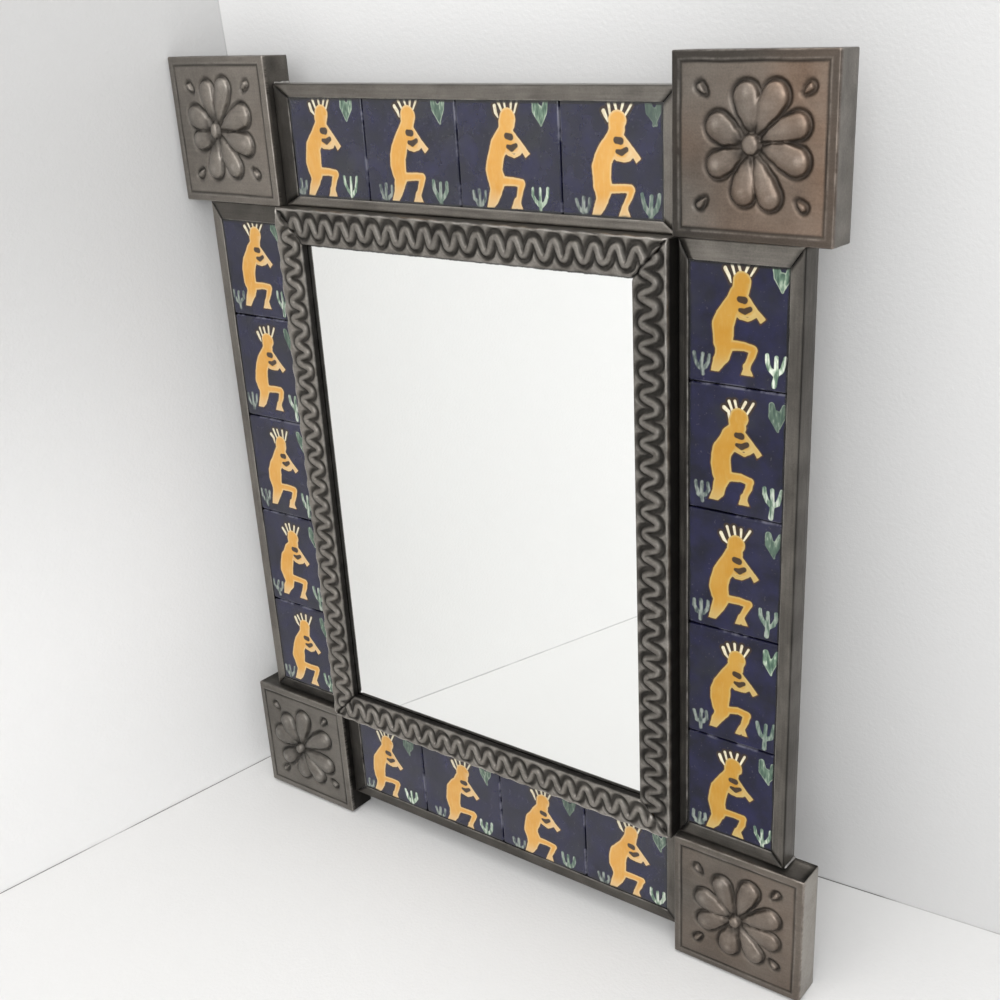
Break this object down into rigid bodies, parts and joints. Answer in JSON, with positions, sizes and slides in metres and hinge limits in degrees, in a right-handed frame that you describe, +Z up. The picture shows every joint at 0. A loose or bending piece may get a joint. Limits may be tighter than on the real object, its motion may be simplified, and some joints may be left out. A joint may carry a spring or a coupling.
{
  "type": "tiled tin wall mirror",
  "caption": "Wall mirror in an embossed tin moulding, with trays of glazed tiles round it, an embossed tin box on each corner and a hanging ring at the back.",
  "frame": {"origin": "centre of the mirror's back, in the plane where the trays and corner boxes rest on the wall", "axes": "+X to the right as seen from the front, +Z up, +Y into the wall; the glass faces -Y"},
  "size_m": [0.3314, 0.0183, 0.3854],
  "materials": {
    "tin": "aged, soft sheen",
    "glazed_tile": "glossy glaze with painted figures",
    "mirror": "silvered",
    "fibreboard": "plain",
    "packing_card": "plain",
    "wire": "dull drawn wire",
    "solder": "dull"
  },
  "bodies": {
    "mirror": {"backing_board": "fibreboard", "backing_tabs": "tin", "corner_box_bottom_left": "tin", "corner_box_bottom_right": "tin", "corner_box_top_left": "tin", "corner_box_top_right": "tin", "hanger_bar": "tin", "mirror_glass": "mirror", "moulding_bottom": "tin", "moulding_left": "tin", "moulding_right": "tin", "moulding_top": "tin", "ring_strap": "tin", "solder_runs": "solder", "tile_bottom_1": "glazed_tile", "tile_bottom_2": "glazed_tile", "tile_bottom_3": "glazed_tile", "tile_bottom_4": "glazed_tile", "tile_left_1": "glazed_tile", "tile_left_2": "glazed_tile", "tile_left_3": "glazed_tile", "tile_left_4": "glazed_tile", "tile_left_5": "glazed_tile", "tile_packing_bottom": "packing_card", "tile_packing_left": "packing_card", "tile_packing_right": "packing_card", "tile_packing_top": "packing_card", "tile_right_1": "glazed_tile", "tile_right_2": "glazed_tile", "tile_right_3": "glazed_tile", "tile_right_4": "glazed_tile", "tile_right_5": "glazed_tile", "tile_top_1": "glazed_tile", "tile_top_2": "glazed_tile", "tile_top_3": "glazed_tile", "tile_top_4": "glazed_tile", "tray_bottom": "tin", "tray_left": "tin", "tray_right": "tin", "tray_top": "tin"},
    "hanging_ring": {"hanging_ring": "wire"}
  },
  "joints": [
    {"name": "ring_swing", "type": "hinge", "parent": "mirror", "child": "hanging_ring", "pos_m": [0, -0.0028, 0.0957], "axis": [1, 0, 0], "range_deg": [0, 180]}
  ]
}
